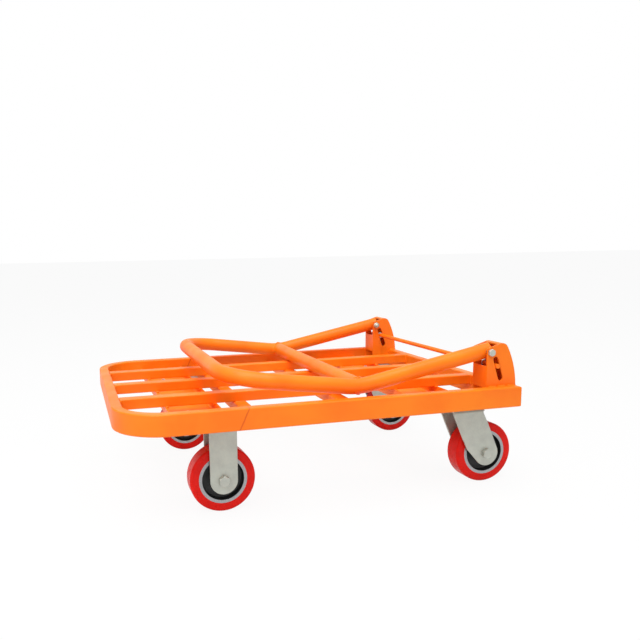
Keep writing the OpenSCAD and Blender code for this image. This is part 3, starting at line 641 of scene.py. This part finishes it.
def thread(shape, radius, pitch, low, high, steps):
    """Adds a screw thread along +Z from low to high, made by a rising spin."""
    depth = 0.55 * pitch
    turns = max(1, round((high - low) / pitch))
    rise = (high - low) / turns
    profile = [(radius - depth, 0), (radius, 0.42 * rise), (radius, 0.58 * rise),
               (radius - depth, rise)]
    part = bmesh.new()
    verts = [part.verts.new((r, 0, low - rise / 2 + z)) for r, z in profile]
    edges = [part.edges.new(pair) for pair in zip(verts, verts[1:])]
    bmesh.ops.spin(part, geom=verts + edges, cent=(0, 0, 0), axis=(0, 0, 1),
                   dvec=(0, 0, rise / steps), angle=2 * math.pi * turns, steps=steps * turns,
                   use_merge=False)
    bmesh.ops.remove_doubles(part, verts=part.verts, dist=MERGE)
    pour(part, shape)


def bolt(flats, radius, head, length, pitch, steps, plain=0.0):
    """A hexagon bolt along +Z: its head below zero, then plain shank, thread and point."""
    part, cap = bmesh.new(), bmesh.new()
    washer = 0.4 * MM
    hexagon(cap, flats, washer, head)
    lathe(cap, [(0, 0), (flats * 0.47, 0), (flats * 0.47, washer * 1.2), (0, washer * 1.2)], 36)
    pour(cap, part, [Matrix.Rotation(math.pi, 4, "X")])
    tip = 0.55 * pitch
    lathe(part, [(0, -0.1 * MM), (radius - tip, -0.1 * MM), (radius - tip, length - tip),
                 (radius - 2 * tip, length), (0, length)], 32)
    if plain:
        lathe(part, [(0, -0.1 * MM), (radius, -0.1 * MM), (radius, plain),
                     (radius - tip, plain + tip), (0, plain + tip)], 32)
    thread(part, radius, pitch, plain, length - tip, steps)
    return part


def nut(flats, height, collar=0.0):
    """A hexagon nut along +Z, with a rolled collar round its insert if it locks."""
    part = bmesh.new()
    body = height - collar
    hexagon(part, flats, 0, body, both=True)
    if collar:
        wide = flats * 0.47
        seat = body + collar - 0.6 * MM
        lathe(part, [(0, body - 0.4 * MM), (wide, body - 0.4 * MM), (wide, body + collar * 0.5),
                     (wide * 0.95, body + collar * 0.85), (wide * 0.86, body + collar),
                     (wide * 0.77, body + collar), (wide * 0.74, seat), (0, seat)], 36)
    return part


def connected(start):
    """All vertices joined to one vertex."""
    seen = {start}
    front = [start]
    while front:
        for edge in front.pop().link_edges:
            for vert in edge.verts:
                if vert not in seen:
                    seen.add(vert)
                    front.append(vert)
    return seen


# --- Operators ---------------------------------------------------------------------


class CART_OT_finishes(bpy.types.Operator):
    """Make the finishes and give one to every part of the frame"""

    bl_idname = "cart.finishes"
    bl_label = "Finishes"

    def execute(self, context):
        finish = settings()[0]
        powder_coat(finish, "sprayed_powder")
        powder_coat(finish, "powder_over_splice", splice=True)
        zinc_plate(finish)
        ground_steel(finish, "machined_steel")
        ground_steel(finish, "spring_wire", 0.6, (0.3, 0.42))
        plain_plastic("guard_plastic", tuple(finish.plastic), 0.5)
        for axle, side in AXLES:
            cast_core(finish, axle, side)
            moulded_tread(finish, axle, side)
        for part in frame["record"]["subparts"]:
            node, slot = part["node"], part["material_slot"]
            where = node.rsplit("_", 1)[0]
            if slot == "black_iron":
                dress(NODES[node], f"iron_core_{where}")
            elif slot == "tread_polyurethane":
                dress(NODES[node], f"tread_{where}")
            elif node == "deck_frame":
                dress(NODES[node], "powder_over_splice")
            else:
                dress(NODES[node], FINISHES[slot])
        return {"FINISHED"}


class CART_OT_deck_welds(bpy.types.Operator):
    """Weld the slats, cross tubes and channels into the deck frame"""

    bl_idname = "cart.deck_welds"
    bl_label = "Deck welds"

    def execute(self, context):
        weld = settings()[1]
        shape = bmesh.new()
        sunk = weld.bead * 0.45
        web = 3 * MM
        lip = 7 * MM
        short = 2 * MM

        def run(start, end):
            bead(shape, bead_path(start, end, weld.ripple / 2), weld.bead)

        for side in ("left", "middle", "right"):
            low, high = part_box(f"slat_{side}")
            for x, inward in ((low.x, 1), (high.x, -1)):
                at = x + inward * sunk
                for y, out in ((low.y, -1), (high.y, 1)):
                    run((at, y + out * sunk, low.z), (at, y + out * sunk, high.z - short))
                run((at, low.y, low.z - sunk), (at, high.y, low.z - sunk))
            for tube in ("front_cross_tube", "middle_cross_tube", "front_bearer", "rear_bearer"):
                left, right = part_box(tube)
                for y, out in ((low.y, -1), (high.y, 1)):
                    if "bearer" in tube:
                        spans = [(left.x, left.x + lip), (right.x - lip, right.x)]
                    else:
                        spans = [(left.x + short, right.x - short)]
                    for start, end in spans:
                        run((start, y + out * sunk, low.z - sunk * 0.4),
                            (end, y + out * sunk, low.z - sunk * 0.4))
        for member in ("front_cross_tube", "middle_cross_tube", "front_bearer", "rear_bearer"):
            low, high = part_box(member)
            for y, inward in ((low.y, 1), (high.y, -1)):
                at = y + inward * sunk
                for x, out in ((low.x, -1), (high.x, 1)):
                    run((x + out * sunk, at, low.z + web), (x + out * sunk, at, high.z))
                top = low.z + web if "bearer" in member else high.z
                run((low.x + web, at, top + sunk), (high.x - web, at, top + sunk))
        shade(shape, WELD_CREASE)
        new_piece("deck_welds", shape, "deck", "powder_coat_orange")
        return {"FINISHED"}


class CART_OT_bracket_welds(bpy.types.Operator):
    """Weld the hinge brackets to the rails and the rear cross-member"""

    bl_idname = "cart.bracket_welds"
    bl_label = "Bracket welds"

    def execute(self, context):
        weld = settings()[1]
        shape = bmesh.new()
        deck_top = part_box("deck_frame")[1].z
        cross_low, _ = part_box("rear_crossmember")
        for side, sign in SIDES.items():
            low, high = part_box(f"hinge_bracket_{side}")
            outer = max(abs(low.y), abs(high.y)) * sign
            inner = min(abs(low.y), abs(high.y)) * sign
            room = high.x - low.x - 8 * MM
            for share in (0.0, 0.5, 1.0):
                start = low.x + 4 * MM + (room - weld.stitch) * share
                at = (outer + sign * 1.2 * MM, deck_top - 0.2 * MM)
                path = bead_path((start, *at), (start + weld.stitch, *at), weld.ripple / 2)
                bead(shape, path, weld.bead)
            foot = inner - sign * weld.bead * 0.3
            path = bead_path((cross_low.x - 0.6 * MM, foot, low.z + 3 * MM),
                             (cross_low.x - 0.6 * MM, foot, deck_top - 3 * MM), weld.ripple / 2)
            bead(shape, path, weld.bead)
            path = bead_path((cross_low.x + 3 * MM, foot, deck_top + 0.4 * MM),
                             (high.x - 3 * MM, foot, deck_top + 0.4 * MM), weld.ripple / 2)
            bead(shape, path, weld.bead)
            path = bead_path((high.x - 0.2 * MM, inner, deck_top - 0.2 * MM),
                             (high.x - 0.2 * MM, outer, deck_top - 0.2 * MM), weld.ripple / 2)
            bead(shape, path, weld.bead * 0.8)
        shade(shape, WELD_CREASE)
        new_piece("bracket_welds", shape, "deck", "powder_coat_orange")
        return {"FINISHED"}


class CART_OT_brace_welds(bpy.types.Operator):
    """Weld the brace to the two legs of the handle"""

    bl_idname = "cart.brace_welds"
    bl_label = "Brace welds"

    def execute(self, context):
        weld = settings()[1]
        shape = bmesh.new()
        centre = middle("handle_brace")
        radius = size("handle_brace").z / 2
        leg_y = (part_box("handle_tube")[1].y - radius)
        around = 72
        for sign in SIDES.values():
            path = []
            for step in range(around):
                angle = 2 * math.pi * step / around
                gap = radius * abs(math.cos(angle))
                lift = radius + 0.5 * MM
                path.append((centre.x + lift * math.cos(angle),
                             sign * (leg_y - gap - 1.0 * MM),
                             centre.z + lift * math.sin(angle)))
            bead(shape, path, weld.bead, closed=True)
        shade(shape, WELD_CREASE)
        new_piece("brace_welds", shape, "handle", "powder_coat_orange")
        return {"FINISHED"}


def islands(node):
    """The lowest and highest corner of each separate solid of a CAD node."""
    shape = bmesh.new()
    shape.from_mesh(NODES[node].data)
    bmesh.ops.remove_doubles(shape, verts=shape.verts, dist=MERGE)
    left = set(shape.verts)
    found = []
    while left:
        part = connected(next(iter(left)))
        left -= part
        found.append((Vector([min(v.co[i] for v in part) for i in range(3)]),
                      Vector([max(v.co[i] for v in part) for i in range(3)])))
    shape.free()
    return sorted(found, key=lambda pair: tuple(round(c, 4) for c in pair[0]))


def cross_bolts(bolts_node, nuts_node, body, names, pitch, head, collar, steps):
    """Replaces a row of bolts across the cart and their lock nuts. The heads face outwards."""
    bolts, nuts = bmesh.new(), bmesh.new()
    for low, high in islands(bolts_node):
        sign = 1 if low.y + high.y > 0 else -1
        inward = Vector((0, -sign, 0))
        centre = (low + high) / 2
        outer = high.y if sign > 0 else low.y
        start = Vector((centre.x, outer - sign * head, centre.z))
        length = high.y - low.y - head
        pour(bolt(across_flats(low, high), shank_radius(bolts_node, low, high), head, length,
                  pitch, steps, plain=length * 0.6), bolts, [turned_to(inward, start)])
    for low, high in islands(nuts_node):
        sign = 1 if low.y + high.y > 0 else -1
        centre = (low + high) / 2
        seat = high.y if sign > 0 else low.y
        pour(nut(across_flats(low, high), high.y - low.y, collar), nuts,
             [turned_to((0, -sign, 0), (centre.x, seat, centre.z))])
    for shape, name, node in ((bolts, names[0], bolts_node), (nuts, names[1], nuts_node)):
        shade(shape, BOLT_CREASE)
        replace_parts(new_piece(name, shape, body, "zinc_plate"), node)


def across_flats(low, high):
    """The width across flats of a hexagonal solid that lies along Y."""
    return min(high.x - low.x, high.z - low.z)


def shank_radius(node, low, high):
    """The radius of a bolt's shank, read at the end away from its head."""
    sign = 1 if low.y + high.y > 0 else -1
    tip = low.y if sign > 0 else high.y
    centre = (low + high) / 2
    return max(math.hypot(v.co.x - centre.x, v.co.z - centre.z) for v in NODES[node].data.vertices
               if abs(v.co.y - tip) < 1e-5 and abs(v.co.x - centre.x) < 0.02)


class CART_OT_pivot_fasteners(bpy.types.Operator):
    """Make the handle's pivot bolts and lock nuts"""

    bl_idname = "cart.pivot_fasteners"
    bl_label = "Pivot fasteners"

    def execute(self, context):
        detail = settings()[2]
        cross_bolts("pivot_bolts", "pivot_nuts", "deck",
                    ("threaded_pivot_bolts", "pivot_lock_nuts"), detail.fine_pitch,
                    M8_HEAD, M8_COLLAR, detail.turn_steps)
        return {"FINISHED"}


class CART_OT_axle_fasteners(bpy.types.Operator):
    """Make the axle bolts and their lock nuts for all four wheels"""

    bl_idname = "cart.axle_fasteners"
    bl_label = "Axle fasteners"

    def execute(self, context):
        detail = settings()[2]
        rows = [("front_axle_bolts", "front_axle_nuts", "deck", "front")]
        rows += [(f"rear_{side}_axle_bolt", f"rear_{side}_axle_nut", f"swivel_{side}",
                  f"rear_{side}") for side in SIDES]
        for bolts_node, nuts_node, body, name in rows:
            cross_bolts(bolts_node, nuts_node, body,
                        (f"{name}_threaded_axle_bolt", f"{name}_axle_lock_nut"),
                        detail.coarse_pitch, M12_HEAD, M12_COLLAR, detail.turn_steps)
        return {"FINISHED"}


class CART_OT_caster_fasteners(bpy.types.Operator):
    """Make the sixteen bolts and nuts that hold the caster plates"""

    bl_idname = "cart.caster_fasteners"
    bl_label = "Caster fasteners"

    def execute(self, context):
        detail = settings()[2]
        bolts, nuts = bmesh.new(), bmesh.new()
        hidden_steps = 12
        places = [((low + high) / 2, low, high) for low, high in islands("caster_bolts")]
        _, low, high = places[0]
        length = high.z - low.z - M8_HEAD
        pour(bolt(M8_FLATS, M8_RADIUS, M8_HEAD, length, detail.fine_pitch, hidden_steps), bolts,
             [turned_to((0, 0, 1), (mid.x, mid.y, low.z + M8_HEAD)) for mid, low, _ in places])
        places = [((low + high) / 2, low, high) for low, high in islands("caster_nuts")]
        _, low, high = places[0]
        pour(nut(M8_FLATS, high.z - low.z), nuts,
             [turned_to((0, 0, 1), (mid.x, mid.y, low.z)) for mid, low, _ in places])
        for shape, name, node in ((bolts, "threaded_caster_bolts", "caster_bolts"),
                                  (nuts, "caster_hexagon_nuts", "caster_nuts")):
            shade(shape, BOLT_CREASE)
            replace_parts(new_piece(name, shape, "deck", "zinc_plate"), node)
        return {"FINISHED"}


class CART_OT_lock_springs(bpy.types.Operator):
    """Wind the two springs that press the lock rod up"""

    bl_idname = "cart.lock_springs"
    bl_label = "Lock springs"

    def execute(self, context):
        wire = 0.7 * MM
        turns = 5
        around = 28
        rod = middle("lock_rod")
        for side in SIDES:
            node = f"lock_spring_{side}"
            axis = Vector((rod.x, middle(node).y, rod.z))
            reach = [(v.co - axis).dot(ROD_WAY) for v in NODES[node].data.vertices]
            start = axis + ROD_WAY * (min(reach) + wire)
            length = max(reach) - min(reach) - 2 * wire
            coil_radius = size(node).y / 2 - wire
            end_rise = 2 * wire
            open_rise = (length - 2 * end_rise) / (turns - 2)
            place = turned_to(ROD_WAY, start)
            path = []
            for step in range(turns * around + 1):
                turn = step / around
                height = (min(turn, 1) * end_rise + min(max(turn - 1, 0), turns - 2) * open_rise
                          + max(0, turn - turns + 1) * end_rise)
                angle = 2 * math.pi * turn
                path.append(place @ Vector((coil_radius * math.cos(angle),
                                            coil_radius * math.sin(angle), height)))
            shape = bmesh.new()
            sweep(shape, path, wire, sides=10)
            shade(shape, WELD_CREASE)
            new = new_piece(f"return_spring_{side}", shape, "deck", "spring_steel")
            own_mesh(new)
            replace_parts(new, node)
        return {"FINISHED"}


# Width and place of the two soft lights, and the point they are aimed at.
AIM = (0.0, 0.0, 0.15)
KEY_WIDTH, KEY_PLACE = 2.2, (-2.7, -1.9, 2.2)
TOP_WIDTH, TOP_PLACE = 3.0, (-0.5, -0.9, 3.1)

# The view: degrees to the right, down and round, the place, and the lens.
YAW, PITCH, ROLL = (math.radians(degrees) for degrees in (-14.83, 8.60, -1.01))
EYE = (-0.46796, -1.41851, 0.48783)
SENSOR_WIDTH, FOCAL_LENGTH = 36.0, 38.29
SHIFT_ACROSS, SHIFT_UP = 0.1096, 0.0481

FLOOR_REACH = 30.0
FLOOR_COLOUR = (0.8, 0.8, 0.8, 1)
WHITE = (1, 1, 1, 1)


def add_area_light(name, place, width, power):
    """A square soft light aimed at the cart."""
    lamp = bpy.data.lights.new(name, "AREA")
    lamp.size = width
    lamp.energy = power
    light = bpy.data.objects.new(name, lamp)
    light.location = place
    light.rotation_euler = (Vector(AIM) - Vector(place)).to_track_quat("-Z", "Y").to_euler()
    bpy.context.scene.collection.objects.link(light)


def seen_directly(tree):
    """1 for camera, mirror and glass rays, else 0."""
    path = tree.nodes.new("ShaderNodeLightPath")
    total = path.outputs["Is Camera Ray"]
    for other in ("Is Glossy Ray", "Is Transmission Ray"):
        most = tree.nodes.new("ShaderNodeMath")
        most.operation = "MAXIMUM"
        tree.links.new(total, most.inputs[0])
        tree.links.new(path.outputs[other], most.inputs[1])
        total = most.outputs["Value"]
    return total


class CART_OT_stage(bpy.types.Operator):
    """Set the floor, the lights and the camera"""

    bl_idname = "cart.stage"
    bl_label = "Stage"

    def execute(self, context):
        stage = settings()[3]
        self.make_floor(stage)
        self.make_sky(stage)
        add_area_light("key_light", KEY_PLACE, KEY_WIDTH, stage.key_power)
        add_area_light("top_light", TOP_PLACE, TOP_WIDTH, stage.top_power)
        self.make_camera()
        context.scene.view_settings.view_transform = "Standard"
        return {"FINISHED"}

    def make_floor(self, stage):
        """A wide pale floor that keeps the cart's shadow and is near white as seen."""
        shape = bmesh.new()
        bmesh.ops.create_grid(shape, x_segments=1, y_segments=1, size=FLOOR_REACH)
        mesh = bpy.data.meshes.new("floor")
        shape.to_mesh(mesh)
        shape.free()
        floor = bpy.data.objects.new("floor", mesh)
        bpy.context.scene.collection.objects.link(floor)
        surface = bpy.data.materials.new("pale_floor")
        surface.use_nodes = True
        tree = surface.node_tree
        matt = tree.nodes["Principled BSDF"]
        matt.inputs["Base Color"].default_value = FLOOR_COLOUR
        matt.inputs["Roughness"].default_value = 0.9
        glow = tree.nodes.new("ShaderNodeEmission")
        blend = tree.nodes.new("ShaderNodeMixShader")
        share = tree.nodes.new("ShaderNodeMath")
        share.operation = "MULTIPLY"
        share.inputs[1].default_value = stage.floor_white
        tree.links.new(seen_directly(tree), share.inputs[0])
        tree.links.new(share.outputs["Value"], blend.inputs["Fac"])
        tree.links.new(matt.outputs["BSDF"], blend.inputs[1])
        tree.links.new(glow.outputs["Emission"], blend.inputs[2])
        tree.links.new(blend.outputs["Shader"], tree.nodes["Material Output"].inputs["Surface"])
        mesh.materials.append(surface)

    def make_sky(self, stage):
        """Even white light, plain white where it is seen directly."""
        world = bpy.data.worlds.new("white_room")
        bpy.context.scene.world = world
        world.use_nodes = True
        tree = world.node_tree
        light = tree.nodes["Background"]
        light.inputs["Color"].default_value = WHITE
        light.inputs["Strength"].default_value = stage.sky
        seen = tree.nodes.new("ShaderNodeBackground")
        seen.inputs["Color"].default_value = WHITE
        seen.inputs["Strength"].default_value = 1.0
        blend = tree.nodes.new("ShaderNodeMixShader")
        tree.links.new(seen_directly(tree), blend.inputs["Fac"])
        tree.links.new(light.outputs["Background"], blend.inputs[1])
        tree.links.new(seen.outputs["Background"], blend.inputs[2])
        tree.links.new(blend.outputs["Shader"], tree.nodes["World Output"].inputs["Surface"])

    def make_camera(self):
        """A camera a little above deck height, off the front left corner."""
        ahead = Vector((-math.sin(YAW) * math.cos(PITCH), math.cos(YAW) * math.cos(PITCH),
                        -math.sin(PITCH)))
        across = Vector((math.cos(YAW), math.sin(YAW), 0))
        above = across.cross(ahead)
        right = math.cos(ROLL) * across + math.sin(ROLL) * above
        up = math.cos(ROLL) * above - math.sin(ROLL) * across
        lens = bpy.data.cameras.new("view")
        lens.sensor_width = SENSOR_WIDTH
        lens.lens = FOCAL_LENGTH
        lens.shift_x = SHIFT_ACROSS
        lens.shift_y = SHIFT_UP
        camera = bpy.data.objects.new("view", lens)
        turn = Matrix((right, up, -ahead)).transposed().to_4x4()
        camera.matrix_world = Matrix.Translation(EYE) @ turn
        bpy.context.scene.collection.objects.link(camera)
        bpy.context.scene.camera = camera


OPERATORS = (CART_OT_finishes, CART_OT_deck_welds, CART_OT_bracket_welds, CART_OT_brace_welds,
             CART_OT_pivot_fasteners, CART_OT_axle_fasteners, CART_OT_caster_fasteners,
             CART_OT_lock_springs, CART_OT_stage)
GROUPS = {"cart_finish": CartFinishSettings, "cart_weld": CartWeldSettings,
          "cart_fastener": CartFastenerSettings, "cart_stage": CartStageSettings}


class CART_PT_panel(bpy.types.Panel):
    """Lists the cart's operators and settings"""

    bl_idname = "CART_PT_panel"
    bl_label = "Folding Platform Cart"
    bl_space_type = "VIEW_3D"
    bl_region_type = "UI"
    bl_category = "Cart"

    def draw(self, context):
        for operator in OPERATORS:
            self.layout.operator(operator.bl_idname)
        for name, group in GROUPS.items():
            box = self.layout.box()
            for field in group.__annotations__:
                box.prop(getattr(context.scene, name), field)


def register():
    for group in GROUPS.values():
        bpy.utils.register_class(group)
    for name, group in GROUPS.items():
        setattr(bpy.types.Scene, name, bpy.props.PointerProperty(type=group))
    for operator in OPERATORS:
        bpy.utils.register_class(operator)
    bpy.utils.register_class(CART_PT_panel)


def unregister():
    bpy.utils.unregister_class(CART_PT_panel)
    for operator in reversed(OPERATORS):
        bpy.utils.unregister_class(operator)
    for name, group in GROUPS.items():
        delattr(bpy.types.Scene, name)
        bpy.utils.unregister_class(group)


def main():
    register()
    bpy.ops.cart.finishes()
    bpy.ops.cart.deck_welds()
    bpy.ops.cart.bracket_welds()
    bpy.ops.cart.brace_welds()
    bpy.ops.cart.pivot_fasteners()
    bpy.ops.cart.axle_fasteners()
    bpy.ops.cart.caster_fasteners()
    bpy.ops.cart.lock_springs()
    bpy.ops.cart.stage()


if __name__ == "__main__":
    main()
